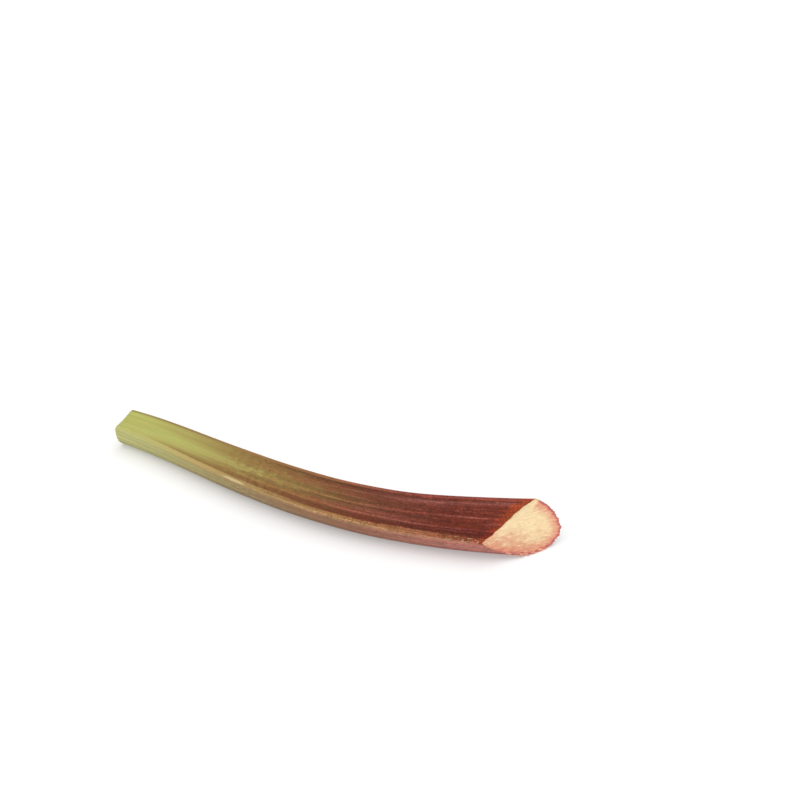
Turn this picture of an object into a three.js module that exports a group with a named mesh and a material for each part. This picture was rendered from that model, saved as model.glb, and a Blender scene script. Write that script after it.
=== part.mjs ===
// One rhubarb stalk, cut at both ends and lying on its round back, in millimetres with +Z up.
// The stalk runs along X: the leaf end is at -X and the broad base end, cut on a slant, is at +X.
// It bows sideways towards -Y, so that it bears on three low spots: one near each end and one in
// the middle. It grew as one piece, so it is one solid.
import * as THREE from "three";

const degrees = THREE.MathUtils.degToRad;

// The centre line. A station runs from -1 at the leaf end to 1 at the base, over two half spans.
const HALF_SPAN = 170;
const BOW = 38; // how far the ends stand back from the middle
const BOW_EASE = 0.2; // how much the bow straightens towards the ends
const BOW_LEAN = 16; // how far the bow's belly leans towards the base

// The two knife cuts: where each crosses the centre line, and the way it faces, turned from +X
// towards +Y and then upwards. The base is cut on a long slant, the leaf end nearly straight. The
// knife strayed by the hollow into the face, most of all beside the upper edge.
const LEAF_CUT = { station: -0.975, yaw: degrees(192), pitch: degrees(4), hollow: 0 };
const BASE_CUT = { station: 0.894, yaw: degrees(-33.2), pitch: degrees(26.1), hollow: 1.75 };

// The section is a D: a nearly flat face with a raised edge on both sides, and a round ribbed back.
const WIDTH = 30; // across the two edges, at station 0
const WIDTH_GAIN = 4.4; // the base half is this much wider, and the leaf half as much narrower
const SWELL = { leaf: 1.15, waist: 0.35, base: 2.25 }; // the upper edge stands further out
const WAIST = { start: -0.2, tight: 0.4, end: 0.8 }; // stations
const SWELL_CLOSENESS = 8; // how closely the swell keeps to the edge
const DEPTH_RATIO = 0.645; // depth of the back below the edges, as a share of the width
const DEPTH_RATIO_LOSS = 0.053; // the base half is flatter by this share, the leaf half rounder
const EDGE_RISE = 1.7; // how far the face stands out from the widest line
const CHANNEL = 1; // how far the middle of the face dips below its edges
const FACE_SQUARENESS = 5; // superellipse powers of the face side and the back
const BACK_SQUARENESS = 2.25;

// The face looks upwards, tilted towards -Y, and more so at the base.
const FACE_PITCH = degrees(75);
const FACE_TWIST = degrees(-10.7);

// Lengthwise ribs: grooves sunk between crests that lie on the smooth outline.
const BACK_RIBS = 12;
const BACK_GROOVE = 0.55;
const FACE_RIBS = 6;
const FACE_GROOVE = 0.3;

// The underside hollows by LIFT between the three low spots, which are pressed flat. Below
// BEARING_HEIGHT the ribs fade out.
const LIFT = 1;
const PRESSED = 0.15;
const BEARING_HEIGHT = 3;
const LOW_SPOT_STATION = 0.04; // the middle one
const LOW_SPOT_SPACING = 0.8; // from it to the other two

// Mesh steps: four round each rib, and rows along the stalk.
const STEPS_PER_RIB = 4;
const ROWS = 56;

function widthAt(station) {
  return WIDTH + WIDTH_GAIN * station;
}

// The swell of the upper edge: it dies down to the waist, and flares again at the base.
function swellAt(station) {
  const { lerp, smoothstep } = THREE.MathUtils;
  const upToWaist = lerp(SWELL.leaf, SWELL.waist, smoothstep(station, WAIST.start, WAIST.tight));
  return lerp(upToWaist, SWELL.base, smoothstep(station, WAIST.tight, WAIST.end));
}

function depthAt(station) {
  return widthAt(station) * (DEPTH_RATIO - DEPTH_RATIO_LOSS * station);
}

// A point of the unit outline: x runs -1 to 1 between the edges, and y stands out of the widest
// line, to 1 on the face and -1 at the bottom of the back.
function unitOutline(angle) {
  const across = Math.cos(angle);
  const out = Math.sin(angle);
  const power = 2 / (out > 0 ? FACE_SQUARENESS : BACK_SQUARENESS);
  return new THREE.Vector2(
    Math.sign(across) * Math.abs(across) ** power,
    Math.sign(out) * Math.abs(out) ** power,
  );
}

// The same point at its real size at a station, before its ribs.
function sized(point, station) {
  const swell = swellAt(station) * Math.max(point.x, 0) ** SWELL_CLOSENESS;
  const across = (point.x * widthAt(station)) / 2 + swell;
  if (point.y <= 0) return new THREE.Vector2(across, point.y * depthAt(station));
  const dip = CHANNEL * (1 - point.x ** 2) ** 1.5;
  return new THREE.Vector2(across, point.y * EDGE_RISE - dip);
}

// The lengthwise lines of one side, at even steps from one edge to the other. Each holds its place on
// the unit outline, the way into the flesh there and the depth of its groove.
function sideLines(startAngle, ribs, groove) {
  const fineSteps = 720;
  const unit = [];
  for (let i = 0; i <= fineSteps; i++) {
    unit.push(unitOutline(startAngle + (Math.PI * i) / fineSteps));
  }
  const real = unit.map((point) => sized(point, 0));
  const travelled = [0];
  for (let i = 0; i < fineSteps; i++) {
    travelled.push(travelled[i] + real[i].distanceTo(real[i + 1]));
  }
  const steps = ribs * STEPS_PER_RIB;
  const lines = [];
  for (let k = 0; k < steps; k++) {
    const distance = (travelled[fineSteps] * k) / steps;
    const i = travelled.findIndex((length) => length > distance) - 1;
    const share = (distance - travelled[i]) / (travelled[i + 1] - travelled[i]);
    const tangent = real[i + 1].clone().sub(real[i]).normalize();
    lines.push({
      unit: unit[i].clone().lerp(unit[i + 1], share),
      inward: new THREE.Vector2(-tangent.y, tangent.x),
      groove: groove * Math.sin((Math.PI * ribs * k) / steps) ** 2,
    });
  }
  return lines;
}

// The centre line's sideways place at a station, and its heading in plan.
function bowAt(station) {
  const curve = BOW * station ** 2 * (1 - BOW_EASE * station ** 2);
  return curve + BOW_LEAN * station * (station ** 2 - 1);
}

function headingAt(station) {
  const step = 1e-3;
  const rise = bowAt(station + step) - bowAt(station - step);
  return Math.atan2(rise, 2 * step * HALF_SPAN);
}

// How high the widest line stands when the smooth back just meets the surface: the superellipse's
// reach straight down, which has the dual power.
function heightAt(station, pitch) {
  const dual = BACK_SQUARENESS / (BACK_SQUARENESS - 1);
  const sideways = (Math.cos(pitch) * widthAt(station)) / 2;
  const down = Math.sin(pitch) * depthAt(station);
  return (sideways ** dual + down ** dual) ** (1 / dual);
}

// A point of the section at a station, stood in the stalk's frame.
function stood(point, station) {
  const pitch = FACE_PITCH + FACE_TWIST * station;
  const heading = headingAt(station);
  const sideways = point.x * Math.sin(pitch) - point.y * Math.cos(pitch);
  const up = point.x * Math.cos(pitch) + point.y * Math.sin(pitch);
  return new THREE.Vector3(
    HALF_SPAN * station - Math.sin(heading) * sideways,
    bowAt(station) + Math.cos(heading) * sideways,
    heightAt(station, pitch) + up,
  );
}

// A point of one lengthwise line, with its groove and the low spots, and never below the surface.
function surfacePoint(line, station) {
  const smooth = sized(line.unit, station);
  const ribbing = THREE.MathUtils.smoothstep(stood(smooth, station).z, 0, BEARING_HEIGHT);
  const point = stood(smooth.addScaledVector(line.inward, line.groove * ribbing), station);
  const swing = Math.sin((Math.PI * (station - LOW_SPOT_STATION)) / LOW_SPOT_SPACING);
  const hollow = LIFT * swing ** 2 - PRESSED;
  point.z = Math.max(point.z + hollow * (1 - ribbing), 0);
  return point;
}

function planeOf(cut) {
  const normal = new THREE.Vector3(
    Math.cos(cut.pitch) * Math.cos(cut.yaw),
    Math.cos(cut.pitch) * Math.sin(cut.yaw),
    Math.sin(cut.pitch),
  );
  const middle = stood(new THREE.Vector2(0, -depthAt(cut.station) / 2), cut.station);
  return new THREE.Plane().setFromNormalAndCoplanarPoint(normal, middle);
}

function hollowAt(unit, cut) {
  const acrossFace = (1 - unit.x ** 2) * (1 + unit.x);
  return cut.hollow * acrossFace * (1 + Math.min(unit.y, 0));
}

// The station where a lengthwise line runs through a cut, closed in on step by step.
function stationAtCut(line, cut) {
  const plane = planeOf(cut);
  let station = cut.station;
  for (let step = 0; step < 30; step++) {
    const beyond = plane.distanceToPoint(surfacePoint(line, station));
    station -= beyond / (HALF_SPAN * plane.normal.x);
  }
  return station - hollowAt(line.unit, cut) / HALF_SPAN;
}

// Rows of points from cut to cut, and one more in the middle of each cut face.
function stalkGeometry() {
  const lines = [
    ...sideLines(0, FACE_RIBS, FACE_GROOVE),
    ...sideLines(Math.PI, BACK_RIBS, BACK_GROOVE),
  ];
  const starts = lines.map((line) => stationAtCut(line, LEAF_CUT));
  const ends = lines.map((line) => stationAtCut(line, BASE_CUT));
  const round = lines.length;
  const points = [];
  for (let row = 0; row <= ROWS; row++) {
    for (let k = 0; k < round; k++) {
      const station = THREE.MathUtils.lerp(starts[k], ends[k], row / ROWS);
      points.push(surfacePoint(lines[k], station));
    }
  }
  const middleOf = (rim) => rim.reduce((sum, p) => sum.add(p), new THREE.Vector3()).divideScalar(round);
  const leafMiddle = points.length;
  const baseMiddle = leafMiddle + 1;
  points.push(middleOf(points.slice(0, round)), middleOf(points.slice(ROWS * round)));

  const faces = [];
  for (let k = 0; k < round; k++) {
    const next = (k + 1) % round;
    for (let here = 0; here < ROWS * round; here += round) {
      const ahead = here + round;
      faces.push(here + k, here + next, ahead + next);
      faces.push(here + k, ahead + next, ahead + k);
    }
    faces.push(leafMiddle, next, k);
    faces.push(baseMiddle, ROWS * round + k, ROWS * round + next);
  }
  const geometry = new THREE.BufferGeometry().setFromPoints(points);
  geometry.setIndex(faces);

  // The origin is on the surface, under the middle of the stalk's box.
  geometry.computeBoundingBox();
  const middle = geometry.boundingBox.getCenter(new THREE.Vector3());
  geometry.translate(-middle.x, -middle.y, 0);
  geometry.computeVertexNormals();
  return geometry;
}

const skin = new THREE.MeshStandardMaterial({ color: 0x8c4a3a, roughness: 0.45, metalness: 0 });
skin.name = "rhubarb_skin";

const stalk = new THREE.Mesh(stalkGeometry(), skin);
stalk.name = "rhubarb_stalk";

const group = new THREE.Group();
group.add(stalk);

export default group;
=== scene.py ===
import math

import bpy
import numpy as np
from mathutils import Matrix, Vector


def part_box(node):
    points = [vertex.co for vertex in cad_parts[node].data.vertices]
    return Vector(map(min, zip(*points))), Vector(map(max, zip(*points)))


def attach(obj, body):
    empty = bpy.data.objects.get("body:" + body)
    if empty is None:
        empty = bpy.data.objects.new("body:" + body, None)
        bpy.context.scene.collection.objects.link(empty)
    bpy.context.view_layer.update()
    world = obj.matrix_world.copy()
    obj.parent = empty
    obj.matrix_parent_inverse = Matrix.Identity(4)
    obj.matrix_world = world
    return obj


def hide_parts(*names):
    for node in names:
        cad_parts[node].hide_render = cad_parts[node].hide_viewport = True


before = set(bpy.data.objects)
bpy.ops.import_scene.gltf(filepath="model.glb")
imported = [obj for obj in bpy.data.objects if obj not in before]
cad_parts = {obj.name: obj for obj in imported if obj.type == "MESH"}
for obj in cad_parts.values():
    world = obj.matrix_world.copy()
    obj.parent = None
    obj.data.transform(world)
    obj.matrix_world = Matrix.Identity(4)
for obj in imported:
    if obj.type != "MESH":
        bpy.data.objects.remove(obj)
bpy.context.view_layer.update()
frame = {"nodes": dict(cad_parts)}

node = "rhubarb_stalk"
mm = 0.001
print("frame loaded:", ", ".join(frame["nodes"]))

# The stalk's form, in metres and degrees: a station runs from -1 at the leaf end to 1 at the base.
form = {
    "halfSpan": 170 * mm,
    "bow": 38 * mm,
    "bowEase": 0.2,
    "bowLean": 16 * mm,
    "leafCut": {"station": -0.975, "yaw": 192, "pitch": 4, "hollow": 0.0},
    "baseCut": {"station": 0.894, "yaw": -33.2, "pitch": 26.1, "hollow": 1.75 * mm},
    "width": 30 * mm,
    "widthGain": 4.4 * mm,
    # how much further the upper edge stands out, and the stations of its waist
    "swell": {"leaf": 1.15 * mm, "waist": 0.35 * mm, "base": 2.25 * mm},
    "waist": {"start": -0.2, "tight": 0.4, "end": 0.8},
    "swellCloseness": 8,
    "depthRatio": 0.645,
    "depthRatioLoss": 0.053,
    "edgeRise": 1.7 * mm,
    "channel": 1 * mm,
    "channelPower": 1.5,
    "softness": 0.55,  # the edges are rounder at the leaf end
    "softStations": (-0.15, -0.75),
    "softCloseness": 10,
    "faceSquareness": 5,
    "backSquareness": 2.25,
    "facePitch": 75,
    "faceTwist": -10.7,
    "lift": 1 * mm,
    "pressed": 0.15 * mm,
    "bearingHeight": 3 * mm,
    "lowSpotStation": 0.04,
    "lowSpotSpacing": 0.8,
}


def smoothStep(value, low, high):
    share = np.clip((value - low) / (high - low), 0, 1)
    return share * share * (3 - 2 * share)


def unit(vectors):
    return vectors / np.linalg.norm(vectors, axis=-1, keepdims=True)


def widthAt(station):
    return form["width"] + form["widthGain"] * station


def swellAt(station):
    swell, waist = form["swell"], form["waist"]
    tightening = smoothStep(station, waist["start"], waist["tight"])
    upToWaist = swell["leaf"] + (swell["waist"] - swell["leaf"]) * tightening
    return upToWaist + (swell["base"] - upToWaist) * smoothStep(station, waist["tight"], waist["end"])


def depthAt(station):
    return widthAt(station) * (form["depthRatio"] - form["depthRatioLoss"] * station)


def pitchAt(station):
    return np.radians(form["facePitch"] + form["faceTwist"] * station)


def unitOutline(angle):  # x from edge to edge, y out of the widest line
    across, out = np.cos(angle), np.sin(angle)
    power = np.where(out > 0, 2 / form["faceSquareness"], 2 / form["backSquareness"])
    return np.sign(across) * np.abs(across) ** power, np.sign(out) * np.abs(out) ** power


def sized(unitX, unitY, station):
    dip = form["channel"] * np.clip(1 - unitX ** 2, 0, 1) ** form["channelPower"]
    soft = form["softness"] * smoothStep(station, *form["softStations"]) * unitX ** form["softCloseness"]
    out = np.where(unitY > 0, unitY * form["edgeRise"] * (1 - soft) - dip, unitY * depthAt(station))
    swell = swellAt(station) * np.clip(unitX, 0, None) ** form["swellCloseness"]
    return unitX * widthAt(station) / 2 + swell, out


def bowAt(station):
    curve = form["bow"] * station ** 2 * (1 - form["bowEase"] * station ** 2)
    return curve + form["bowLean"] * station * (station ** 2 - 1)


def headingAt(station):
    step = 1e-3
    return np.arctan2(bowAt(station + step) - bowAt(station - step), 2 * step * form["halfSpan"])


def heightAt(station):  # of the widest line, when the smooth back just meets the surface below
    dual = form["backSquareness"] / (form["backSquareness"] - 1)
    sideways = np.cos(pitchAt(station)) * widthAt(station) / 2
    down = np.sin(pitchAt(station)) * depthAt(station)
    return (sideways ** dual + down ** dual) ** (1 / dual)


def stood(across, out, station):  # a point of the section, in the stalk's frame
    pitch, heading = pitchAt(station), headingAt(station)
    sideways = across * np.sin(pitch) - out * np.cos(pitch)
    up = across * np.cos(pitch) + out * np.sin(pitch)
    x = form["halfSpan"] * station - np.sin(heading) * sideways
    y = bowAt(station) + np.cos(heading) * sideways
    return np.stack((x, y, heightAt(station) + up), -1)


def wander(along, seed, turns, length, waves=9):  # smooth noise that closes round the stalk
    draw = np.random.default_rng(seed)
    total = 0
    for _ in range(waves):
        wave = draw.integers(-turns, turns + 1) * lines["turn"] + draw.uniform(-1, 1) * along / length
        total = total + np.sin(2 * math.pi * (wave + draw.random()))
    return total / math.sqrt(waves)


# How finely the skin is laid out, and what a knife and a season leave on it.
skin = {
    "faceSteps": 96,
    "backSteps": 120,
    "faceCrowding": 0.5,  # how much closer the lines stand at the two edges
    "backCrowding": 0.3,
    "rows": 372,
    "endRows": (0, 0.12, 0.3, 0.6, 1.0, 1.6),  # mm from each cut
    "faceRibs": 6,
    "faceGroove": 0.26 * mm,
    "backRibs": 12,
    "backGroove": 0.55 * mm,
    "grooveShare": (0.5, 1.0),  # least and greatest, drawn for each groove
    "smoothStrip": (4 * mm, 16 * mm),  # the back's grooves grow between these gaps from an edge
    "fineRibs": 3,  # in each rib
    "faceFineGroove": 0.08 * mm,
    "backFineGroove": 0.12 * mm,
    "fineAtLeaf": 0.35,  # how much of the fine grooves' depth is left at the leaf end
    "fineStations": (-0.5, 0.2),
    "beadGroove": 0.16 * mm,  # beside each raised edge of the face
    "upperBead": (4.6 * mm, 0.9 * mm),  # its gap from the edge and half its width
    "lowerBead": (6.4 * mm, 1.3 * mm),
    "lump": 0.12 * mm,
    "rimCurl": 0.08 * mm,
    "rimCurlReach": 0.25 * mm,
    "waves": {  # strength, seed step, most waves round the stalk, metres of one along it
        "rib": (0.12, 2, 5, 0.16),
        "groove": (0.2, 3, 7, 0.07),
        "fine": (0.4, 4, 13, 0.05),
        "lump": (1.0, 5, 4, 0.045),
    },
    "scar": {
        "station": -0.247, "halfLength": 0.062, "gap": 1.9 * mm, "halfWidth": 1.6 * mm,
        "depth": 0.28 * mm, "taper": 3, "ripple": 0.15, "ripplePace": 410,
    },
    "seed": 11,
}


def sideLines(startAngle, ribs, steps, crowding):
    fineSteps = 4001
    unitX, unitY = unitOutline(startAngle + np.linspace(0, math.pi, fineSteps))
    realX, realY = sized(unitX, unitY, 0.0)
    stepX, stepY = np.diff(realX), np.diff(realY)
    length = np.hypot(stepX, stepY)
    travelled = np.concatenate(([0], np.cumsum(length)))
    share = np.arange(steps) / steps
    share = share - crowding * np.sin(2 * math.pi * share) / (2 * math.pi)
    distance = share * travelled[-1]
    halfway = (travelled[1:] + travelled[:-1]) / 2
    inwardX = -np.interp(distance, halfway, stepY / length)
    inwardY = np.interp(distance, halfway, stepX / length)
    inward = unit(np.stack((inwardX, inwardY), -1))
    return {
        "unitX": np.interp(distance, travelled, unitX),
        "unitY": np.interp(distance, travelled, unitY),
        "inwardX": inward[:, 0],
        "inwardY": inward[:, 1],
        "rib": share * ribs,
        "distance": distance,
    }, travelled[-1]


face, faceLength = sideLines(0, skin["faceRibs"], skin["faceSteps"], skin["faceCrowding"])
back, backLength = sideLines(math.pi, skin["backRibs"], skin["backSteps"], skin["backCrowding"])
loop = faceLength + backLength
back["distance"] = back["distance"] + faceLength
face["isFace"] = np.ones(skin["faceSteps"])
back["isFace"] = np.zeros(skin["backSteps"])
bottom = skin["faceSteps"] + skin["backSteps"] // 2  # the lines start and end at the bottom of the back
lines = {key: np.roll(np.concatenate((face[key], back[key])), -bottom) for key in face}
lines["turn"] = lines["distance"] / loop
fromLower = np.abs(lines["distance"] - faceLength)
lines["upperGap"] = np.minimum(lines["distance"], loop - lines["distance"])  # round the loop to each edge
lines["lowerGap"] = np.minimum(fromLower, loop - fromLower)


def grooveGain(rib, count, seed):  # every groove has its own depth
    gains = np.random.default_rng(seed).uniform(*skin["grooveShare"], count)
    return gains[np.clip(np.floor(rib).astype(int), 0, count - 1)]


faceGain = grooveGain(lines["rib"], skin["faceRibs"], skin["seed"])
backGain = grooveGain(lines["rib"], skin["backRibs"], skin["seed"] + 1)
edgeGap = np.minimum(lines["upperGap"], lines["lowerGap"])
backGain = backGain * smoothStep(edgeGap, *skin["smoothStrip"])
onFaceSide = lines["isFace"] > 0
lines["groove"] = np.where(onFaceSide, skin["faceGroove"] * faceGain, skin["backGroove"] * backGain)
lines["fineGroove"] = np.where(onFaceSide, skin["faceFineGroove"], skin["backFineGroove"])


def scarAt(station):
    scar = skin["scar"]
    along = (station - scar["station"]) / scar["halfLength"]
    across = (lines["lowerGap"] - scar["gap"]) / scar["halfWidth"]
    shape = np.exp(-along ** 4 - across ** 2 * (1 + scar["taper"] * along ** 2)) * lines["isFace"]
    return shape * (1 - scar["ripple"] + scar["ripple"] * np.sin(station * scar["ripplePace"]))


def skinWaves(kind, station):
    strength, seedStep, turns, length = skin["waves"][kind]
    along = form["halfSpan"] * station
    return strength * wander(along, skin["seed"] + seedStep, turns, length)


def crestAt(station):  # 1 on a rib's crest, 0 in the groove
    shift = skinWaves("rib", station)
    wide = np.cos(math.pi * (lines["rib"] + shift * np.sin(math.pi * lines["rib"]) ** 2)) ** 2
    fine = np.cos(math.pi * (skin["fineRibs"] * lines["rib"] + 2 * shift)) ** 2
    return wide, fine


def skinPoints(station, rimGap):  # rimGap: metres along the skin to the nearer cut
    across, out = sized(lines["unitX"], lines["unitY"], station)
    ribbing = smoothStep(stood(across, out, station)[..., 2], 0, form["bearingHeight"])
    wide, fine = crestAt(station)
    depth = lines["groove"] * (1 - wide) * (1 + skinWaves("groove", station))
    atLeaf = skin["fineAtLeaf"]
    fineGrowth = atLeaf + (1 - atLeaf) * smoothStep(station, *skin["fineStations"])
    fineWaves = 1 - skin["waves"]["fine"][0] + skinWaves("fine", station)
    depth += lines["fineGroove"] * (1 - fine) * fineGrowth * fineWaves
    depth += skin["lump"] * (1 + skinWaves("lump", station)) / 2
    depth += skin["scar"]["depth"] * scarAt(station)
    for edge in ("upper", "lower"):
        place, halfWidth = skin[edge + "Bead"]
        bead = np.exp(-((lines[edge + "Gap"] - place) / halfWidth) ** 2)
        depth += skin["beadGroove"] * lines["isFace"] * bead
    depth += skin["rimCurl"] * np.exp(-rimGap / skin["rimCurlReach"])
    depth = depth * ribbing
    points = stood(across + lines["inwardX"] * depth, out + lines["inwardY"] * depth, station)
    swing = np.sin(math.pi * (station - form["lowSpotStation"]) / form["lowSpotSpacing"])
    hollow = (form["lift"] * swing ** 2 - form["pressed"]) * (1 - ribbing)
    points[..., 2] = np.maximum(points[..., 2] + hollow, 0)
    return points


def cutNormal(cut):
    yaw, pitch = math.radians(cut["yaw"]), math.radians(cut["pitch"])
    return np.array((math.cos(pitch) * math.cos(yaw), math.cos(pitch) * math.sin(yaw), math.sin(pitch)))


def cutMiddle(cut):  # a point of the cut, in the middle of the section
    return stood(np.array(0.0), np.array(-depthAt(cut["station"]) / 2), np.array(cut["station"]))


def cutAxes(normal):  # sideways and upwards in the plane of the cut
    sideways = unit(np.cross((0, 0, 1), normal))
    return sideways, np.cross(normal, sideways)


def hollowAt(unitX, unitY, cut):  # how far the knife strayed into the face
    return cut["hollow"] * (1 - unitX ** 2) * (1 + unitX) * (1 + np.minimum(unitY, 0))


def stationsAtCut(cut):  # where each line of the skin meets the cut, closed in on step by step
    closingSteps = 30
    normal, middle = cutNormal(cut), cutMiddle(cut)
    station = np.full(len(lines["turn"]), float(cut["station"]))
    for _ in range(closingSteps):
        beyond = (skinPoints(station, 0.0) - middle) @ normal
        station = station - beyond / (form["halfSpan"] * normal[0])
    return station - hollowAt(lines["unitX"], lines["unitY"], cut) / form["halfSpan"]


# The ragged rim that the knife left: teeth along the back, and almost none along the face.
rim = {
    "toothPitch": 1.9 * mm,
    "toothHeight": 0.8 * mm,
    "toothSink": 0.3,  # share of the height that lies behind the cut
    "toothReach": (0.25, 0.75),  # shares of the pitch, least and greatest
    "toothLean": (0.2, 0.8),
    "toothSize": (0.25, 1),
    "toothStep": (0.5, 1.3),
    "shredPitch": 2.1 * mm,
    "shredHeight": 2.4 * mm,
    "shredSink": 0.2,
    "backBelow": (0.0, 0.12),  # how far down the section the back's teeth grow
    "shredBelow": (0.42, 0.6),
    "shredBeside": (0.2, 0.5),  # and how far towards the lower edge the shreds do
    "faceRoughness": 0.1 * mm,
    "faceWaves": 40,
    "leafHeight": 0.25 * mm,
    "seed": 23,
}


def teeth(pitch, sink, seedStep):  # a row of uneven teeth round the stalk, 0 to 1 high, less the sink
    draw = np.random.default_rng(rim["seed"] + seedStep)
    height = np.zeros_like(lines["distance"])
    place = draw.uniform(0, pitch)
    while place < loop:
        reach = pitch * draw.uniform(*rim["toothReach"])
        lean = draw.uniform(*rim["toothLean"])
        offset = (lines["distance"] - place) / reach
        tooth = np.minimum((offset + lean) / lean, (1 - lean - offset) / (1 - lean))
        height = np.maximum(height, np.clip(tooth, 0, 1) * draw.uniform(*rim["toothSize"]))
        place += pitch * draw.uniform(*rim["toothStep"])
    return height - sink


backShare = smoothStep(-lines["unitY"], *rim["backBelow"])
shredShare = smoothStep(-lines["unitY"], *rim["shredBelow"])
shredShare *= smoothStep(-lines["unitX"], *rim["shredBeside"])
baseJag = rim["toothHeight"] * backShare * teeth(rim["toothPitch"], rim["toothSink"], 0)
baseJag += rim["shredHeight"] * shredShare * teeth(rim["shredPitch"], rim["shredSink"], 1)
faceWaves = wander(0, rim["seed"] + 2, rim["faceWaves"], 1)
baseJag += rim["faceRoughness"] * (1 - backShare) * faceWaves
leafJag = rim["leafHeight"] * backShare * teeth(rim["toothPitch"], rim["toothSink"], 3)

leafEnd = stationsAtCut(form["leafCut"]) - leafJag / form["halfSpan"]
baseEnd = stationsAtCut(form["baseCut"]) + baseJag / form["halfSpan"]

endShare = np.array(skin["endRows"]) * mm / (2 * form["halfSpan"])
evenRows = np.linspace(endShare[-1], 1 - endShare[-1], skin["rows"] - 2 * len(endShare) + 2)[1:-1]
rowShare = np.concatenate((endShare, evenRows, 1 - endShare[::-1]))[:, None]
station = leafEnd + rowShare * (baseEnd - leafEnd)
leafGap = form["halfSpan"] * (station - leafEnd)
baseGap = form["halfSpan"] * (baseEnd - station)
skinGrid = skinPoints(station, np.minimum(leafGap, baseGap))
acrossGrid, outGrid = sized(lines["unitX"], lines["unitY"], station)


def layered(*values):  # three values for every point, as one vector each
    return np.stack([np.broadcast_to(value, station.shape) for value in values], -1)


skinTraits = {
    "stalkPlace": layered(form["halfSpan"] * station, acrossGrid, outGrid),
    "sectionPlace": layered(station, lines["unitX"], lines["unitY"]),
    "edgeGaps": layered(lines["lowerGap"], lines["upperGap"], baseGap) / mm,
    "skinMarks": layered(crestAt(station)[0], scarAt(station), 0.0),
    "fleshMarks": layered(0.0, 0.0, 0.0),  # set on the cuts alone
    "cutPlace": layered(0.0, 0.0, 0.0),
}
print("skin shaped:", station.size, "points")

# The two cut faces: flesh a little below a thin lip of skin, combed by the knife.
flesh = {
    "baseRings": 46,
    "leafRings": 13,
    "rimRings": (0, 0.14, 0.35, 0.7, 1.15),  # mm inside the rim
    "sunk": 0.22 * mm,
    "sinksOver": (0.1 * mm, 1.2 * mm),  # gaps from the rim
    "lip": 0.55 * mm,
    "crown": 0.18 * mm,
    "crownReach": 5 * mm,
    "stroke": 0.055 * mm,  # height of the knife's marks
    "strokeTilt": -9,  # degrees, in the cut
    "strokeWaves": 50,
    "strokePitch": 1.2 * mm,
    "strokeFineness": (0.4, 1.3),  # waves in a pitch, least and greatest
    "strokeLength": 8 * mm,
    "strokeFade": (1.0, 0.85),  # the marks die down at the cut's middle, which is at 1
    "upperRim": 0.08,  # how far down the section the rim reaches its full colour, on either side
    "lowerRim": 0.45,
    "seed": 37,
}


def knifeMarks(along, aside, seed):  # long low waves, side by side
    draw = np.random.default_rng(seed)
    total = 0
    for _ in range(flesh["strokeWaves"]):
        wave = aside * draw.uniform(*flesh["strokeFineness"]) / flesh["strokePitch"]
        wave = wave + along * draw.uniform(-1, 1) / flesh["strokeLength"]
        total = total + np.sin(2 * math.pi * (wave + draw.random()))
    return total / math.sqrt(flesh["strokeWaves"])


def cutFace(end, row, seedStep):  # row: the row of the skin that runs round the cut
    cut = form[end + "Cut"]
    normal = cutNormal(cut)
    rimPoints = skinGrid[row]
    rimTraits = {name: values[row] for name, values in skinTraits.items()}
    unitX, unitY = rimTraits["sectionPlace"][:, 1], rimTraits["sectionPlace"][:, 2]
    standOff = (rimPoints - cutMiddle(cut)) @ normal
    flatRim = rimPoints - standOff[:, None] * normal
    middle = flatRim.mean(0)
    reach = np.linalg.norm(flatRim - middle, axis=-1)
    share = np.array(flesh["rimRings"])[:, None] * mm / reach
    deep = np.linspace(0, 1, flesh[end + "Rings"] - len(share) + 1)[1:, None]
    share = np.concatenate((share, share[-1] + deep * (1 - share[-1])))
    gap = share * reach
    points = flatRim + share[..., None] * (middle - flatRim)
    across = unitX + share * (unitX.mean() - unitX)
    out = unitY + share * (unitY.mean() - unitY)
    hollow = -hollowAt(across, out, cut) * abs(normal[0])
    lipped = (standOff - hollow[0]) * np.exp(-gap / flesh["lip"])  # the teeth stay at the rim

    sideways, upwards = cutAxes(normal)
    tilt = math.radians(flesh["strokeTilt"])
    fromMiddle = points - middle
    strokeAlong = fromMiddle @ (sideways * math.cos(tilt) + upwards * math.sin(tilt))
    strokeAside = fromMiddle @ (upwards * math.cos(tilt) - sideways * math.sin(tilt))
    inside = smoothStep(gap, *flesh["sinksOver"])
    relief = -flesh["sunk"] * inside + flesh["crown"] * smoothStep(gap, 0, flesh["crownReach"])
    strokes = flesh["stroke"] * inside * knifeMarks(strokeAlong, strokeAside, flesh["seed"] + seedStep)
    relief = relief + strokes * smoothStep(share, *flesh["strokeFade"])
    points = points + (hollow + lipped + relief)[..., None] * normal

    none = np.zeros_like(gap)
    backRim = smoothStep(-unitY, 0.0, np.where(unitX > 0, flesh["upperRim"], flesh["lowerRim"]))
    place = rimTraits["stalkPlace"]
    traits = {name: np.broadcast_to(values, points.shape) for name, values in rimTraits.items()}
    traits["stalkPlace"] = place + share[..., None] * (place.mean(0) - place)
    traits["fleshMarks"] = np.stack((gap / mm, np.broadcast_to(backRim, gap.shape), none), -1)
    traits["cutPlace"] = np.stack((strokeAlong, strokeAside, none), -1)
    return points, traits


baseGrid, baseTraits = cutFace("base", -1, 0)
leafGrid, leafTraits = cutFace("leaf", 0, 5)
leafGrid, leafTraits = leafGrid[::-1], {name: values[::-1] for name, values in leafTraits.items()}

# The stalk's box has its middle over the origin, as the solid's has.
low, high = (np.array(corner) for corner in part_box(node))
shift = (low + high) / 2 - (skinGrid.min((0, 1)) + skinGrid.max((0, 1))) / 2
shift[2] = 0
skinGrid, baseGrid, leafGrid = skinGrid + shift, baseGrid + shift, leafGrid + shift

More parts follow.
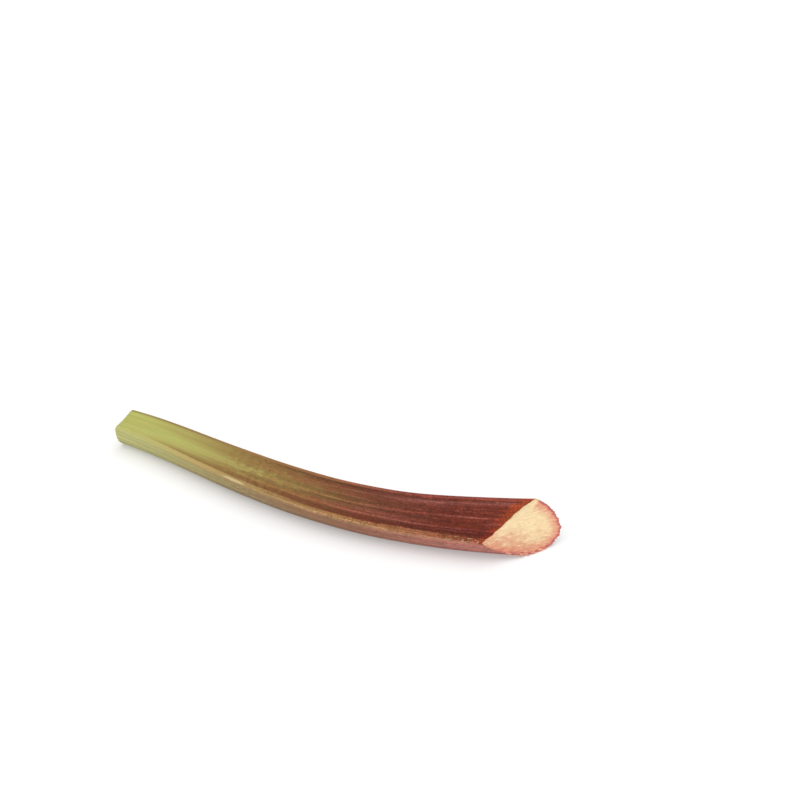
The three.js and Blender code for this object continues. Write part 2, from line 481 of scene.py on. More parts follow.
# Where each part lies on the stalk's own UV map: the skin below, the two cuts and the fibres above.
uvPlan = {
    "skin": (0.004, 0.004, 0.996, 0.725),
    "base": (0.004, 0.74, 0.56, 0.996),
    "leaf": (0.58, 0.74, 0.92, 0.996),
    "fibres": (0.935, 0.74, 0.996, 0.996),
}


def closedRound(grid):  # the first line again, to close the loop
    return np.concatenate((grid, grid[:, :1]), 1)


def skinUv():
    left, lower, right, upper = uvPlan["skin"]
    spread = np.append(np.mod(lines["distance"] - lines["distance"][0], loop) / loop, 1.0)
    u = np.broadcast_to(left + (right - left) * rowShare, (len(rowShare), len(spread)))
    v = np.broadcast_to(lower + (upper - lower) * spread, u.shape)
    return np.stack((u, v), -1)


def cutUv(end, points):
    left, lower, right, upper = uvPlan[end]
    sideways, upwards = cutAxes(cutNormal(form[end + "Cut"]))
    flat = np.stack((points @ sideways, points @ upwards), -1)
    least, most = flat.min((0, 1)), flat.max((0, 1))
    scale = min((right - left) / (most - least)[0], (upper - lower) / (most - least)[1])
    return closedRound(np.array((left, lower)) + (flat - least) * scale)


def giveTraits(piece, traits):
    for trait, values in traits.items():
        attribute = piece.data.attributes.new(trait, "FLOAT_VECTOR", "POINT")
        attribute.data.foreach_set("vector", values.astype(np.float32).reshape(-1))


def wrapGrid(name, points, traits, uv, material):  # a flat grid, laid over rows of points
    points = closedRound(points)
    rows, columns = points.shape[:2]
    bpy.ops.object.select_all(action="DESELECT")
    bpy.ops.mesh.primitive_grid_add(x_subdivisions=columns - 1, y_subdivisions=rows - 1, size=1)
    sheet = bpy.context.object
    sheet.name = name
    sheet.data.vertices.foreach_set("co", points.astype(np.float32).reshape(-1))
    giveTraits(sheet, {trait: closedRound(values) for trait, values in traits.items()})
    uvMap = sheet.data.uv_layers[0]
    uvMap.name = "OFBake"
    corners = np.empty(len(sheet.data.loops), np.int32)
    sheet.data.loops.foreach_get("vertex_index", corners)
    uvMap.uv.foreach_set("vector", uv.reshape(-1, 2)[corners].astype(np.float32).reshape(-1))
    sheet.data.materials.append(material)
    sheet.data.update()
    return sheet


def paint(colour):  # "rrggbb" as a linear colour
    shares = [int(colour[i:i + 2], 16) / 255 for i in (0, 2, 4)]
    return tuple(s / 12.92 if s <= 0.04045 else ((s + 0.055) / 1.055) ** 2.4 for s in shares) + (1,)


def addNode(tree, kind, inputs=None, **settings):  # an input is a value or another node's output
    made = tree.nodes.new(kind)
    for name, value in settings.items():
        setattr(made, name, value)
    for name, value in (inputs or {}).items():
        if isinstance(value, bpy.types.NodeSocket):
            tree.links.new(value, made.inputs[name])
        else:
            made.inputs[name].default_value = value
    return made


def calculate(tree, operation, first, second=0.0, third=0.0):
    inputs = {0: first, 1: second, 2: third}
    return addNode(tree, "ShaderNodeMath", inputs, operation=operation).outputs[0]


def times(tree, first, *others):
    for other in others:
        first = calculate(tree, "MULTIPLY", first, other)
    return first


def lessOf(tree, value, other):
    return calculate(tree, "SUBTRACT", value, other)


def added(tree, value, other, amount):  # value plus an amount of the other
    return calculate(tree, "MULTIPLY_ADD", other, amount, value)


def shifted(tree, value, patterns, amounts):  # value plus its own amount of each pattern
    for name, amount in amounts.items():
        value = added(tree, value, patterns[name], amount)
    return value


def fade(tree, value, start, end, low=0.0, high=1.0):  # smooth change from low at start to high at end
    settings = {"Value": value, "From Min": start, "From Max": end, "To Min": low, "To Max": high}
    return addNode(tree, "ShaderNodeMapRange", settings, interpolation_type="SMOOTHSTEP").outputs[0]


def ridge(tree, value, centre, halfWidth):  # 1 at the centre, 0 past half a width
    return fade(tree, calculate(tree, "ABSOLUTE", lessOf(tree, value, centre)), halfWidth, 0.0)


def blend(tree, share, first, second, mode="MIX"):
    inputs = {0: share, 6: first, 7: second}  # the Mix node's colour sockets
    return addNode(tree, "ShaderNodeMix", inputs, data_type="RGBA", blend_type=mode).outputs[2]


def toned(tree, colour, tone):  # darker or lighter, by a grey value
    grey = addNode(tree, "ShaderNodeCombineColor", {"Red": tone, "Green": tone, "Blue": tone}).outputs[0]
    return blend(tree, 1.0, colour, grey, "MULTIPLY")


def ramp(tree, value, stops):  # stops: (place, colour) pairs
    made = addNode(tree, "ShaderNodeValToRGB", {"Fac": value})
    elements = made.color_ramp.elements
    elements[0].position, elements[0].color = stops[0][0], paint(stops[0][1])
    elements[1].position, elements[1].color = stops[-1][0], paint(stops[-1][1])
    for place, colour in stops[1:-1]:
        elements.new(place).color = paint(colour)
    return made.outputs[0]


def split(tree, attribute):  # an attribute, whole and in its three parts
    vector = addNode(tree, "ShaderNodeAttribute", attribute_name=attribute).outputs["Vector"]
    parts = addNode(tree, "ShaderNodeSeparateXYZ", {"Vector": vector})
    return vector, parts.outputs[0], parts.outputs[1], parts.outputs[2]


def newGroup(name, inputs, outputs):  # inputs: labels and their values, None for a vector
    group = bpy.data.node_groups.new(name, "ShaderNodeTree")
    for label, value in inputs.items():
        kind = "NodeSocketVector" if value is None else "NodeSocketFloat"
        socket = group.interface.new_socket(name=label, in_out="INPUT", socket_type=kind)
        if value is not None:
            socket.default_value = value
    for label in outputs:
        group.interface.new_socket(name=label, in_out="OUTPUT", socket_type="NodeSocketFloat")
    return group, addNode(group, "NodeGroupInput"), addNode(group, "NodeGroupOutput")


def stretchedPlace(group, start):  # cells that are so many times longer along the stalk than round it
    perMetre = start.outputs["Marks per metre"]
    alongStalk = calculate(group, "DIVIDE", perMetre, start.outputs["Stretch"])
    scale = addNode(group, "ShaderNodeCombineXYZ", {"X": alongStalk, "Y": perMetre, "Z": perMetre})
    inputs = {0: start.outputs["Place"], 1: scale.outputs[0]}
    return addNode(group, "ShaderNodeVectorMath", inputs, operation="MULTIPLY").outputs[0]


def streaksGroup():  # long lines of noise that run with the stalk
    inputs = {"Place": None, "Marks per metre": 400.0, "Stretch": 30.0, "Seed": 0.0, "Contrast": 1.0}
    group, start, end = newGroup("lengthwiseStreaks", inputs, ("Value",))
    place = stretchedPlace(group, start)
    seed = start.outputs["Seed"]
    settings = {"Vector": place, "W": seed, "Scale": 1.0, "Detail": 4.0, "Roughness": 0.62}
    noise = addNode(group, "ShaderNodeTexNoise", settings, noise_dimensions="4D").outputs[0]
    clear = added(group, 0.5, lessOf(group, noise, 0.5), start.outputs["Contrast"])
    clear = addNode(group, "ShaderNodeClamp", {"Value": clear}).outputs[0]
    group.links.new(clear, end.inputs["Value"])
    return group


def specklesGroup():  # small scattered dots
    inputs = {"Place": None, "Marks per metre": 500.0, "Stretch": 1.0, "Size": 0.25}
    group, start, end = newGroup("scatteredSpeckles", inputs, ("Dots", "Tone"))
    place = stretchedPlace(group, start)
    cells = addNode(group, "ShaderNodeTexVoronoi", {"Vector": place, "Scale": 1.0, "Randomness": 1.0})
    dots = fade(group, cells.outputs["Distance"], start.outputs["Size"], 0.0)
    tone = addNode(group, "ShaderNodeSeparateXYZ", {"Vector": cells.outputs["Color"]}).outputs[0]
    group.links.new(dots, end.inputs["Dots"])
    group.links.new(tone, end.inputs["Tone"])
    return group


streaks = streaksGroup()
speckles = specklesGroup()


def placeGroup(tree, group, place, perMetre, stretch, **others):
    inputs = {"Place": place, "Marks per metre": perMetre, "Stretch": stretch, **others}
    return addNode(tree, "ShaderNodeGroup", inputs, node_tree=group).outputs


def placePatterns(tree, layouts, place):  # streaks from 0 to 1, and the same about 0
    patterns = {}
    for name, (perMetre, stretch, seed, contrast) in layouts.items():
        placed = placeGroup(tree, streaks, place, perMetre, stretch, Seed=seed, Contrast=contrast)
        patterns[name] = placed["Value"]
    return patterns, {name: lessOf(tree, patterns[name], 0.5) for name in patterns}


def placeDots(tree, place, perMetre, stretch, size):
    return placeGroup(tree, speckles, place, perMetre, stretch, Size=size).values()


def zoneTools(tree, look, places, swings):
    def shape(name, value, *shares):  # where a zone shows, from 0 to its own share
        zone = look[name]
        value = shifted(tree, value, swings, zone.get("strays", {}))
        for step in zone.get("place", ()):
            value = lessOf(tree, value, fade(tree, places["from"], *step))
        if "centre" in zone:
            value = ridge(tree, value, zone["centre"], zone["halfWidth"])
        else:
            value = fade(tree, value, *zone["gaps"])
        fades = [fade(tree, places[key], *zone[key]) for key in places if key in zone]
        return times(tree, value, *shares, *fades, zone.get("share", 1.0))

    def coat(colour, name, value, *shares, over=None):  # the zone's colour, or another, laid over one
        over = paint(look[name]["colour"]) if over is None else over
        return blend(tree, shape(name, value, *shares), colour, over)

    return shape, coat


def linkSurface(tree, shader, look, patterns, colour, rough, strength):  # strength: of the relief
    height = shifted(tree, 0.0, patterns, look["relief"])
    relief = {"Height": height, "Strength": strength, "Distance": look["reliefHeight"]}
    bump = addNode(tree, "ShaderNodeBump", relief).outputs["Normal"]
    for name, output in {"Base Color": colour, "Roughness": rough, "Normal": bump}.items():
        tree.links.new(output, shader.inputs[name])


def newMaterial(name, settings):
    material = bpy.data.materials.new(name)
    material.use_nodes = True
    tree = material.node_tree
    shader = next(n for n in tree.nodes if n.type == "BSDF_PRINCIPLED")
    for socket, value in settings.items():
        shader.inputs[socket].default_value = value
    return material, tree, shader


# The skin's looks, zone by zone. Gaps from the edges are in mm. A zone grows between the two stations of
# "from" and ends between those of "until", its strays make it uneven, and its share is how far it covers
# what lies under it.
skinLook = {
    "shader": {
        "Specular IOR Level": 0.08,
        "Coat Weight": 0.01,
        "Coat Roughness": 0.25,
        "Subsurface Weight": 0.05,
        "Subsurface Radius": (1.0, 0.35, 0.15),
        "Subsurface Scale": 0.002,
    },
    "patterns": {  # marks per metre round the stalk, how many times longer they are, seed, contrast
        "broad": (210, 24, 1.0, 2.2),
        "line": (330, 45, 5.0, 2.4),
        "hair": (900, 30, 9.0, 2.4),
        "mottle": (480, 1.8, 14.0, 1.9),
        "grain": (950, 1.1, 21.0, 2.4),
    },
    # how ripe the skin is, 0 at the leaf end and 1 at the base, least along the middle of the face
    "ripe": {"broad": 0.06, "line": 0.03, "mottle": 0.05},
    "ripeBack": {"mottle": 0.08, "broad": 0.08},
    "unripe": {
        "centre": 0.03, "halfWidth": 0.52, "drift": -0.12, "strays": {"broad": 0.1, "line": 0.06},
        "until": (0.6, -0.1), "unitY": (0.6, 0.9), "amount": -0.12,
    },
    "blotches": {"gaps": (-0.45, -0.2), "until": (0.4, 0.1), "amount": 0.28},
    # the colours along the stalk, by how ripe it is
    "ramps": {
        "face": (
            (0.05, "b3b362"), (0.2, "a89b58"), (0.33, "927842"), (0.5, "805a35"),
            (0.65, "743e29"), (0.8, "69281b"), (0.9, "722b1a"),
        ),
        # darker skin with painted shade, also used for the painted shade near the upper edge
        "bandAndShade": ((0.3, "856538"), (0.5, "6e4226"), (0.66, "5d2818"), (0.85, "5b1c11")),
        "ochre": (
            (0.1, "a8a465"), (0.3, "a68e58"), (0.5, "8a6941"), (0.65, "7f5b35"),
            (0.75, "845233"), (0.86, "733a21"),
        ),
        # the upper edge's own colour, lighter in the base half as a painted highlight where the edge
        # catches the light
        "upperEdgeAndHighlight": (
            (0.05, "8f7e43"), (0.12, "8d7443"), (0.25, "8f7044"), (0.45, "90663c"),
            (0.6, "915c40"), (0.72, "843e33"),
        ),
    },
    "backRamps": {
        "back": (
            (0.08, "b2b072"), (0.25, "a0935f"), (0.42, "8e7553"), (0.64, "8b6049"), (0.85, "a8675f"),
        ),
        "lowerEdge": (
            (0.1, "b4b074"), (0.3, "a8925f"), (0.5, "997954"), (0.66, "b68a64"), (0.85, "b47965"),
        ),
    },
    "onFace": (0.0, 0.1),
    "glow": {
        "colour": "b8b86c", "centre": -0.35, "halfWidth": 0.7, "until": (-0.35, -0.75), "share": 0.45,
    },
    "topShade": {
        "gaps": (11.0, 3.0), "strays": {"line": 4.0},
        "from": (-0.5, -0.2), "until": (0.65, 0.2), "share": 0.4,
    },
    "veins": (  # place across the face, its drift along the stalk, half width (mm), strength
        (-0.06, 0.24, 1.3, 0.15),
        (-0.42, 0.04, 1.2, 0.10),
        (0.40, 0.30, 1.1, 0.03),
        (-0.68, 0.00, 0.9, 0.06),
    ),
    "veinBreaks": {"gaps": (0.2, 0.7), "from": (-0.4, 0.1, 0.2, 1.0), "until": (0.75, 0.55)},
    "veinStrays": {"broad": 0.8},
    "veinLift": 3,
    "halfFace": 15.0,
    # the dark stretch above the ochre strip, darker skin with painted shade: between two stations its top
    # goes from one gap to another
    "bandAndShade": {
        "place": ((0.35, 0.65, 7.0, 12.0),), "gaps": (2.4, -2.0),
        "strays": {"line": -3.5, "mottle": -1.0}, "from": (-0.85, -0.4),
    },
    "ochre": {
        "place": ((-0.1, 0.25, 4.3, 3.5), (0.3, 0.5, 0.0, 1.1), (0.6, 0.82, 0.0, -0.6)),
        "gaps": (0.9, -0.9), "strays": {"line": -1.4, "mottle": -0.8, "grain": -0.8},
    },
    "lowerEdge": {"gaps": (1.95, 1.0), "strays": {"grain": -0.5}, "unitY": (-0.14, 0.0), "share": 0.9},
    "grooves": {"gaps": (0.7, 0.0), "unitY": (0.0, -0.3), "share": 0.2},
    # painted shade: darker towards the bottom of the back
    "shadeUnderneath": (-0.3, -0.7, 1.0, 0.8),
    "lowerRib": {
        "colour": "b47c6c", "centre": -0.26, "halfWidth": 0.14, "strays": {"line": 0.08},
        "from": (0.4, 0.7), "unitX": (0.0, -0.3), "share": 0.75,
    },
    # the upper edge: its own colour with a painted highlight along the base half
    "upperEdgeAndHighlight": {
        "place": ((0.5, 0.65, 4.2, 3.3),), "gaps": (0.0, -0.8), "strays": {"grain": 0.4}, "share": 0.9,
    },
    # painted shadow: a darker line in the groove beside the upper edge's bead
    "shadowBesideUpper": {
        "place": ((0.5, 0.65, 4.2, 3.3),), "centre": 1.0, "halfWidth": 1.2, "strays": {"grain": 0.4},
        "from": (-0.2, 0.2), "share": -0.22,
    },
    # a painted mauve sheen below the upper edge of the base half, and painted sheen on its pale lines
    "paintedSheen": {
        "place": ((0.5, 0.75, 7.2, 4.8),), "centre": 0.0, "halfWidth": 2.4,
        "strays": {"hair": 1.5, "line": 1.0}, "from": (0.2, 0.45), "share": 0.32,
    },
    "paintedLineSheen": {"gaps": (0.45, 0.9), "from": (0.1, 0.4), "share": 0.42},
    "paintedSheenTint": {"colour": "95615a", "gaps": (4.0, 7.0)},
    # warmer skin beside the base cut, which reaches from one gap to another across the face
    "cutReach": (-0.6, 0.9, 4.0, 8.5),
    "cutColours": ("8a2a14", "913914"),
    "acrossCut": (-0.7, 0.5),
    "nearCut": {
        "gaps": (3.0, -5.0), "strays": {"line": -5.0, "hair": -3.0, "mottle": -5.0}, "share": 0.78,
    },
    # small cool and warm patches in the red half
    "patchwork": {"hair": 0.7, "grain": 0.3},
    "cool": {"colour": "7e524f", "gaps": (0.5, 0.8), "from": (0.0, 0.5), "share": 0.28},
    "warm": {"colour": "8c4a22", "gaps": (0.5, 0.2), "from": (0.0, 0.5), "share": 0.25},
    "contrast": {  # between two stations each pattern goes from one strength to another
        "broad": (-0.3, 0.2, 0.14, 0.45),
        "line": (-0.4, 0.2, 0.2, 0.85),
        "hair": (-0.1, 0.4, 0.05, 0.5),
        "mottle": (-0.3, 0.5, 0.1, 0.95),
        "grain": (-0.3, 0.5, 0.05, 1.0),
    },
    "backContrast": (-0.1, 0.1, 0.55, 1.0),
    # dots: marks per metre, how many times longer they are, size
    "fleckDots": (520, 1.6, 0.17),
    "flecks": {"gaps": (0.6, 0.9)},
    "fleckCover": 0.14,
    "fleckColour": "c8ae8c",
    "flakeDots": (1300, 1.8, 0.55),
    "flakeTones": (0.55, 0.62),
    "flakes": {
        "gaps": (4.6, 3.4), "strays": {"line": -1.5}, "unitY": (0.0, 0.4),
        "from": (0.56, 0.68), "until": (0.88, 0.8), "share": 0.8,
    },
    "flakeColour": "e6d3b4",
    "scar": {"gaps": (0.3, 0.6), "strays": {"line": 0.25, "grain": 0.2}},
    "scarColour": "bba77c",
    "roughness": 0.46,
    "roughStrays": {"line": 0.12, "mottle": 0.08},
    "scarRoughness": 0.2,
    "relief": {"line": 1.0, "hair": 0.5, "mottle": 0.4, "grain": 0.5, "flecks": 0.5, "flakes": 0.8},
    "reliefStrength": (-0.5, 0.3, 0.4, 0.9),
    "reliefHeight": 0.12 * mm,
}


def buildSkinMaterial():
    look = skinLook
    material, tree, shader = newMaterial("rhubarbSkin", look["shader"])
    place, _, _, _ = split(tree, "stalkPlace")
    _, stationAt, unitX, unitY = split(tree, "sectionPlace")
    _, toLower, toUpper, toBase = split(tree, "edgeGaps")
    _, crest, scarMark, _ = split(tree, "skinMarks")
    patterns, swings = placePatterns(tree, look["patterns"], place)
    places = {"from": stationAt, "until": stationAt, "unitX": unitX, "unitY": unitY}
    shape, coat = zoneTools(tree, look, places, swings)

    unripe = shape("unripe", added(tree, unitX, stationAt, look["unripe"]["drift"]))
    ripe = shifted(tree, added(tree, 0.5, stationAt, 0.5), swings, look["ripe"])
    ripe = added(tree, ripe, unripe, look["unripe"]["amount"])
    blotches = shape("blotches", stationAt, swings["mottle"])
    ripe = added(tree, ripe, blotches, look["blotches"]["amount"])
    ripeBack = shifted(tree, ripe, swings, look["ripeBack"])
    ramps = {name: ramp(tree, ripe, stops) for name, stops in look["ramps"].items()}
    ramps.update({name: ramp(tree, ripeBack, stops) for name, stops in look["backRamps"].items()})

    colour = coat(ramps["face"], "glow", unitX)
    colour = coat(colour, "topShade", toUpper, over=ramps["bandAndShade"])
    breaks = shape("veinBreaks", patterns["hair"])
    for centre, drift, halfWidth, strength in look["veins"]:
        offset = lessOf(tree, unitX, added(tree, centre, stationAt, drift))
        offset = shifted(tree, times(tree, offset, look["halfFace"]), swings, look["veinStrays"])
        vein = times(tree, ridge(tree, offset, 0.0, halfWidth), breaks)
        colour = toned(tree, colour, added(tree, 1 - strength / 2, vein, look["veinLift"] * strength))
    onFace = fade(tree, unitY, *look["onFace"])
    # darker skin with painted shade above the ochre strip
    colour = coat(colour, "bandAndShade", toLower, onFace, over=ramps["bandAndShade"])
    colour = coat(colour, "ochre", toLower, onFace, over=ramps["ochre"])
    colour = blend(tree, onFace, ramps["back"], colour)
    colour = coat(colour, "lowerEdge", toLower, over=ramps["lowerEdge"])
    colour = toned(tree, colour, added(tree, 1.0, shape("grooves", crest), 1.0))
    # painted shade, darker towards the bottom of the back
    colour = toned(tree, colour, fade(tree, unitY, *look["shadeUnderneath"]))
    colour = coat(colour, "lowerRib", unitY)
    # the upper edge's own colour, with a painted highlight in the base half
    colour = coat(colour, "upperEdgeAndHighlight", toUpper, over=ramps["upperEdgeAndHighlight"])
    # painted shadow: a darker line in the groove beside the upper edge
    colour = toned(tree, colour, added(tree, 1.0, shape("shadowBesideUpper", toUpper), 1.0))

    # painted sheen: a mauve stripe below the upper edge and a mauve tint on the pale lines
    paintedSheen = calculate(tree, "MAXIMUM", shape("paintedSheen", toUpper), shape("paintedLineSheen", patterns["line"]))
    colour = coat(colour, "paintedSheenTint", toLower, paintedSheen, onFace)
    fromReach = lessOf(tree, toBase, fade(tree, unitX, *look["cutReach"]))
    lowColour, topColour = (paint(cutColour) for cutColour in look["cutColours"])
    warmer = blend(tree, fade(tree, unitX, *look["acrossCut"]), lowColour, topColour)
    colour = coat(colour, "nearCut", fromReach, onFace, over=warmer)
    patchwork = shifted(tree, 0.0, patterns, look["patchwork"])
    colour = coat(colour, "cool", patchwork, onFace)
    colour = coat(colour, "warm", patchwork, onFace)

    softer = fade(tree, unitY, *look["backContrast"])
    for name, strengths in look["contrast"].items():
        contrast = times(tree, fade(tree, stationAt, *strengths), softer)
        colour = toned(tree, colour, added(tree, 1.0, swings[name], contrast))
    dots, tone = placeDots(tree, place, *look["fleckDots"])
    patterns["flecks"] = shape("flecks", tone, dots)
    flecks = times(tree, patterns["flecks"], look["fleckCover"])
    colour = blend(tree, flecks, colour, paint(look["fleckColour"]))
    dots, tone = placeDots(tree, place, *look["flakeDots"])
    patterns["flakes"] = shape("flakes", toLower, dots, fade(tree, tone, *look["flakeTones"]))
    colour = blend(tree, patterns["flakes"], colour, paint(look["flakeColour"]))
    scar = shape("scar", scarMark)
    colour = blend(tree, scar, colour, paint(look["scarColour"]))

    rough = shifted(tree, look["roughness"], swings, look["roughStrays"])
    rough = added(tree, rough, scar, look["scarRoughness"])
    strength = fade(tree, stationAt, *look["reliefStrength"])
    linkSurface(tree, shader, look, patterns, colour, rough, strength)
    return material


# The flesh's looks, in the same terms. Its gaps are mm from the rim.
fleshLook = {
    "shader": {
        "Specular IOR Level": 0.15,
        "Coat Weight": 0.02,
        "Coat Roughness": 0.3,
        "Subsurface Weight": 0.15,
        "Subsurface Radius": (1.0, 0.5, 0.3),
        "Subsurface Scale": 0.002,
    },
    "stalkPatterns": {"cloud": (160, 2, 6.0, 2.0)},
    "cutPatterns": {  # these run with the knife
        "hatch": (900, 5, 3.0, 3.0),
        "fine": (1900, 5, 12.0, 2.4),
        "grain": (1300, 1.4, 17.0, 2.4),
    },
    "atBase": (-0.5, 0.0),  # stations between which the leaf end's looks give way to the base's
    "cream": "ecd3a7",
    "leafCream": "d6d6a2",
    # peach grows away from the upper edge and the face, by so much a metre
    "peachAcross": -62.0,
    "peachOut": -42.0,
    "peachGrain": 0.4,
    "peach": {"colour": "d29072", "gaps": (0.65, 1.9, 0.0, 0.85)},
    "bundleDots": (620, 2.2, 0.42),
    "bundleTones": {"gaps": (0.55, 0.85)},
    "bundles": {"colour": "c45f4e", "gaps": (0.4, 1.5, 0.06, 0.5), "from": (-0.5, 0.0, 0.2, 1.0)},
    "pale": {"colour": "f4dcb6", "gaps": (0.5, 1.0, 0.0, 0.5)},
    "bleed": {  # skin colour that runs into the flesh, and how wide from the lower edge to the upper
        "colour": "d98a72", "strays": {"hatch": 2.6, "cloud": 2.0}, "width": (0.0, 0.6, 6.0, 10.5),
        "full": 1.0, "share": 0.85,
    },
    "rim": {
        "colour": "b2545c", "leafColour": "98994f", "strays": {"hatch": 1.8, "grain": 0.8},
        "width": (-0.5, 0.0, 1.3, 2.6), "full": 0.5, "share": 0.85,
    },
    "torn": {  # low on the rim
        "gaps": (2.8, 0.8), "strays": {"grain": 1.2},
        "unitX": (-0.1, -0.4), "unitY": (-0.35, -0.6), "share": 0.8,
    },
    "shreds": {"colour": "f0b89c", "gaps": (0.4, 0.62)},
    "shredDeep": "b2604f",
    "faceRim": {"colour": "c09a58", "gaps": (0.7, 0.1), "share": 0.7},
    "contrast": {"hatch": 0.14, "fine": 0.2, "grain": 0.14},
    "roughness": 0.36,
    "roughGrain": 0.2,
    "relief": {"hatch": 1.0, "fine": 0.5, "grain": 0.3, "bundles": -0.5},
    "reliefStrength": 0.7,
    "reliefHeight": 0.13 * mm,
}


def buildFleshMaterial():
    look = fleshLook
    material, tree, shader = newMaterial("rhubarbFlesh", look["shader"])
    place, _, across, out = split(tree, "stalkPlace")
    _, stationAt, unitX, unitY = split(tree, "sectionPlace")
    _, toRim, backRim, _ = split(tree, "fleshMarks")
    cutPlace, _, _, _ = split(tree, "cutPlace")
    patterns, swings = placePatterns(tree, look["cutPatterns"], cutPlace)
    for known, more in zip((patterns, swings), placePatterns(tree, look["stalkPatterns"], place)):
        known.update(more)
    places = {"from": stationAt, "unitX": unitX, "unitY": unitY}
    shape, coat = zoneTools(tree, look, places, swings)
    atBase = fade(tree, stationAt, *look["atBase"])

    peachy = added(tree, patterns["cloud"], across, look["peachAcross"])
    peachy = added(tree, peachy, out, look["peachOut"])
    peachy = added(tree, peachy, patterns["grain"], look["peachGrain"])
    colour = coat(paint(look["cream"]), "peach", peachy)
    colour = blend(tree, atBase, paint(look["leafCream"]), colour)
    dots, tone = placeDots(tree, cutPlace, *look["bundleDots"])
    patterns["bundles"] = shape("bundleTones", tone, dots)
    colour = coat(colour, "bundles", peachy, patterns["bundles"])
    colour = coat(colour, "pale", patterns["hatch"])

    def rimZone(name, widthBy, *shares):  # a zone that reaches inwards from the rim
        zone = look[name]
        gap = shifted(tree, toRim, swings, zone["strays"])
        share = fade(tree, gap, fade(tree, widthBy, *zone["width"]), zone["full"])
        return times(tree, share, backRim, zone["share"], *shares)

    colour = blend(tree, rimZone("bleed", unitX, atBase), colour, paint(look["bleed"]["colour"]))
    rimColour = blend(tree, atBase, paint(look["rim"]["leafColour"]), paint(look["rim"]["colour"]))
    colour = blend(tree, rimZone("rim", stationAt), colour, rimColour)
    shreds = coat(paint(look["shredDeep"]), "shreds", patterns["fine"])
    colour = coat(colour, "torn", toRim, atBase, over=shreds)
    colour = coat(colour, "faceRim", toRim, lessOf(tree, 1.0, backRim))
    for name, contrast in look["contrast"].items():
        colour = toned(tree, colour, added(tree, 1 - contrast / 2, patterns[name], contrast))

    rough = added(tree, look["roughness"], patterns["grain"], look["roughGrain"])
    linkSurface(tree, shader, look, patterns, colour, rough, look["reliefStrength"])
    return material


skinMaterial = buildSkinMaterial()
fleshMaterial = buildFleshMaterial()
print("materials built")

skinSheet = wrapGrid("rhubarbStalk", skinGrid, skinTraits, skinUv(), skinMaterial)
baseSheet = wrapGrid("baseCutFace", baseGrid, baseTraits, cutUv("base", baseGrid), fleshMaterial)
leafSheet = wrapGrid("leafCutFace", leafGrid, leafTraits, cutUv("leaf", leafGrid), fleshMaterial)

# Torn fibres that stand off the lower rim of the base cut.
fibres = {
    "count": 60,
    "rows": 10,  # on the UV map
    "cellShare": 0.93,  # how much of its place there a fibre fills
    "sides": 6,
    "thinnest": 0.28 * mm,
    "thickest": 0.5 * mm,
    "tip": 0.01 * mm,
    "shortest": 1.4 * mm,
    "longest": 3.4 * mm,
    "onBack": 0.9,  # they stand where the back's teeth are this full, short of the upper edge
    "shortOfEdge": 0.95,
    "elsewhere": 0.005,  # how likely a fibre is outside the shreds, where it is 1
    "inset": 0.15 * mm,
    "buried": 0.3,  # share of the length inside the flesh
    "lean": (-0.15, 0.3),  # outwards, least and most
    "shredLean": 0.8,  # more than that in the shreds
    "unevenness": 0.25,
    "skinRows": 8,  # they run on as the skin does over these last rows
    "clearance": 0.6 * mm,
    "clearanceRise": 1.5,
    "floorGap": 0.02 * mm,
    "traitRing": 4,  # they take the colour of the flesh this many rings inside the rim
    "seed": 51,
}


def addFibres():
    draw = np.random.default_rng(fibres["seed"])
    normal = cutNormal(form["baseCut"])
    candidates = np.flatnonzero((backShare > fibres["onBack"]) & (lines["unitX"] < fibres["shortOfEdge"]))
    weights = fibres["elsewhere"] + shredShare[candidates]
    chosen = draw.choice(candidates, fibres["count"], p=weights / weights.sum())
    left, lower, right, upper = uvPlan["fibres"]
    columns = math.ceil(fibres["count"] / fibres["rows"])
    cell = np.array(((right - left) / columns, (upper - lower) / fibres["rows"]))
    rimPoints = skinGrid[-1]
    made = []
    for number, column in enumerate(chosen):
        root = rimPoints[column] + draw.uniform(0, 1) * (rimPoints[column + 1] - rimPoints[column])
        along = unit(rimPoints[column] - skinGrid[-fibres["skinRows"], column])
        outward = root - rimPoints.mean(0)
        outward = unit(outward - normal * (outward @ normal))
        leastLean, mostLean = fibres["lean"]
        lean = draw.uniform(leastLean, mostLean + fibres["shredLean"] * shredShare[column])
        aim = unit(along + outward * lean + draw.normal(0, fibres["unevenness"], 3))
        length = draw.uniform(fibres["shortest"], fibres["longest"])
        leastRise = fibres["clearanceRise"] * (fibres["clearance"] - root[2]) / length
        aim[2] = max(aim[2], leastRise)  # none reaches under the stalk
        aim = unit(aim)
        middle = root - outward * fibres["inset"] + aim * length * (0.5 - fibres["buried"])
        bpy.ops.object.select_all(action="DESELECT")
        bpy.ops.mesh.primitive_cone_add(
            vertices=fibres["sides"],
            radius1=draw.uniform(fibres["thinnest"], fibres["thickest"]),
            radius2=fibres["tip"],
            depth=length,
            location=middle,
            rotation=Vector(aim).to_track_quat("Z", "Y").to_euler(),
        )
        fibre = bpy.context.object
        bpy.ops.object.transform_apply(location=True, rotation=True, scale=True)
        for vertex in fibre.data.vertices:
            vertex.co.z = max(vertex.co.z, fibres["floorGap"])
        ring, count = fibres["traitRing"], len(fibre.data.vertices)
        traits = {name: np.tile(values[ring, column], count) for name, values in baseTraits.items()}
        giveTraits(fibre, traits)
        uvMap = fibre.data.uv_layers[0]
        uvMap.name = "OFBake"
        corner = np.array((left, lower)) + np.array(divmod(number, fibres["rows"])) * cell
        for loopUv in uvMap.uv:
            loopUv.vector = corner + np.array(loopUv.vector) * fibres["cellShare"] * cell
        fibre.data.materials.append(fleshMaterial)
        made.append(fibre)
    return made


fibrePieces = addFibres()


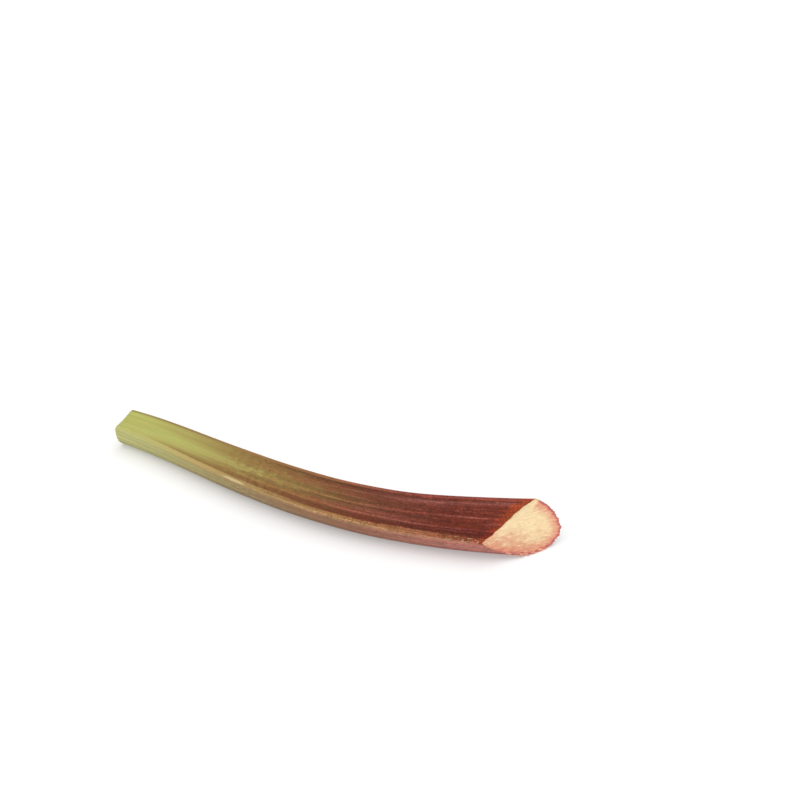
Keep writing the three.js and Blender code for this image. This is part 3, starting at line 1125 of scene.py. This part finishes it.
def joinAndClose(pieces):
    mergeDistance = 0.001 * mm
    sharpAngle = 50  # degrees
    bpy.ops.object.select_all(action="DESELECT")
    for piece in pieces:
        piece.select_set(True)
    bpy.context.view_layer.objects.active = pieces[0]
    bpy.ops.object.join()
    bpy.ops.object.mode_set(mode="EDIT")
    bpy.ops.mesh.select_all(action="SELECT")
    bpy.ops.mesh.remove_doubles(threshold=mergeDistance)
    bpy.ops.mesh.normals_make_consistent(inside=False)
    bpy.ops.mesh.select_all(action="DESELECT")
    bpy.ops.object.mode_set(mode="OBJECT")
    bpy.ops.object.shade_smooth_by_angle(angle=math.radians(sharpAngle))
    return pieces[0]


stalk = joinAndClose([skinSheet, baseSheet, leafSheet] + fibrePieces)
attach(stalk, "root")
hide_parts(node)
print("stalk closed:", len(stalk.data.polygons), "faces")

# Floor, light and camera.
stage = {
    "floorSize": 60,
    "floor": {
        "Base Color": paint("c7c7c7"),
        "Roughness": 0.8,
        "Specular IOR Level": 0.2,
        "Emission Color": (1, 1, 1, 1),
        "Emission Strength": 0.315,
    },
    "worldColour": (1, 1, 1, 1),
    "worldStrength": 0.3,
    "lights": (  # name, where it shines from, angle across, strength
        ("overheadSoftbox", (-0.05, 0.05, 1.5), 90, 2.1),
        ("frontSoftbox", (0.35, -1.2, 0.9), 110, 1.5),
    ),
}
bpy.ops.object.select_all(action="DESELECT")
bpy.ops.mesh.primitive_plane_add(size=stage["floorSize"])
floor = bpy.context.object
floor.name = "paleFloor"
floorMaterial, _, _ = newMaterial("paleFloor", stage["floor"])
floor.data.materials.append(floorMaterial)

world = bpy.data.worlds.new("studio")
world.use_nodes = True
backdrop = next(n for n in world.node_tree.nodes if n.type == "BACKGROUND")
backdrop.inputs["Color"].default_value = stage["worldColour"]
backdrop.inputs["Strength"].default_value = stage["worldStrength"]
bpy.context.scene.world = world

for name, place, angle, strength in stage["lights"]:
    bpy.ops.object.light_add(type="SUN", location=place)
    light = bpy.context.object
    light.name = name
    light.rotation_euler = (-Vector(place)).to_track_quat("-Z", "Y").to_euler()
    light.data.energy = strength
    light.data.angle = math.radians(angle)

view = {
    "azimuth": 26.373,  # from the front towards the base end
    "elevation": 25.521,
    "distance": 0.87972,
    "target": (-0.0144163, 0.1675341, 0.0),
    "lens": 50,
    "sensorWidth": 36,
    "clipEnd": 100,
}
azimuth, elevation = math.radians(view["azimuth"]), math.radians(view["elevation"])
target = Vector(view["target"])
away = Vector((
    math.cos(elevation) * math.sin(azimuth),
    -math.cos(elevation) * math.cos(azimuth),
    math.sin(elevation),
))
bpy.ops.object.camera_add(location=target + view["distance"] * away)
camera = bpy.context.object
camera.name = "camera"
camera.rotation_euler = (-away).to_track_quat("-Z", "Y").to_euler()
camera.data.lens = view["lens"]
camera.data.sensor_width = view["sensorWidth"]
camera.data.clip_end = view["clipEnd"]
bpy.context.scene.camera = camera
bpy.context.scene.view_settings.view_transform = "Standard"
print("stage set")
